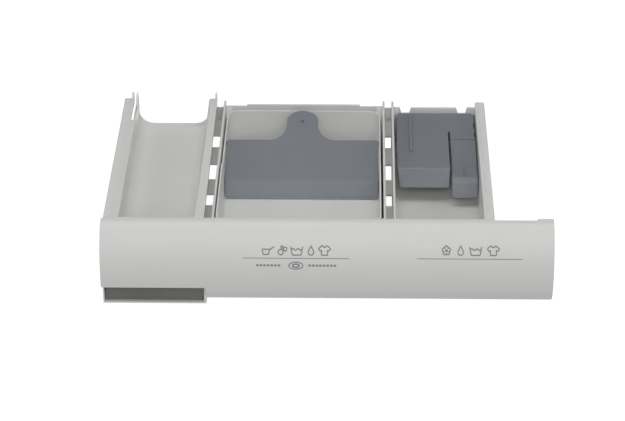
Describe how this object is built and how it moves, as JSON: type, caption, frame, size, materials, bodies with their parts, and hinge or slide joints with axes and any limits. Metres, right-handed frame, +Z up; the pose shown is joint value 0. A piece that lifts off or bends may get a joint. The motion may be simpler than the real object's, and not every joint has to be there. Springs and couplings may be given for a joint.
{
  "type": "washing machine dispenser drawer",
  "caption": "Detergent dispenser drawer with a bulged fascia, finger grip, open trough, lift-out cup with tilting flap, and a softener bay with siphon cap.",
  "frame": {"origin": "bottom centre of the bounding box: on the surface the drawer stands on, under the middle of its footprint", "axes": "+X to the right along the fascia, +Y to the back (the way the drawer goes in), +Z up"},
  "size_m": [0.335, 0.216, 0.0714],
  "materials": {
    "tray": "light grey moulded plastic, satin",
    "fascia": "light grey fine-textured plastic",
    "cup": "light grey moulded plastic, satin",
    "slate": "slate grey moulded plastic, satin",
    "grip": "dark warm grey textured plastic",
    "screw": "zinc plated steel"
  },
  "bodies": {
    "drawer": {"drawer_tray": "tray", "fascia_panel": "fascia", "grip_pocket": "fascia", "grip_insert": "grip", "fascia_screw_1": "screw", "fascia_screw_2": "screw", "fascia_screw_3": "screw", "fascia_screw_4": "screw"},
    "cup": {"detergent_cup": "cup"},
    "flap": {"detergent_flap": "slate"},
    "cap": {"siphon_cap": "slate"},
    "tongue": {"release_tongue": "slate"}
  },
  "joints": [
    {"name": "cup_lift", "type": "slide", "parent": "drawer", "child": "cup", "axis": [0, 0, 1], "range_m": [0, 0.08]},
    {"name": "flap_pivot", "type": "hinge", "parent": "cup", "child": "flap", "pos_m": [0, 0.0575, 0.0528], "axis": [-1, 0, 0], "range_deg": [0, 45]},
    {"name": "cap_lift", "type": "slide", "parent": "drawer", "child": "cap", "axis": [0, 0, 1], "range_m": [0, 0.06]},
    {"name": "tongue_press", "type": "hinge", "parent": "cap", "child": "tongue", "pos_m": [0, 0.056, 0.0562], "axis": [1, 0, 0], "range_deg": [0, 6], "stiffness_Nm_per_rad": 1.5}
  ]
}
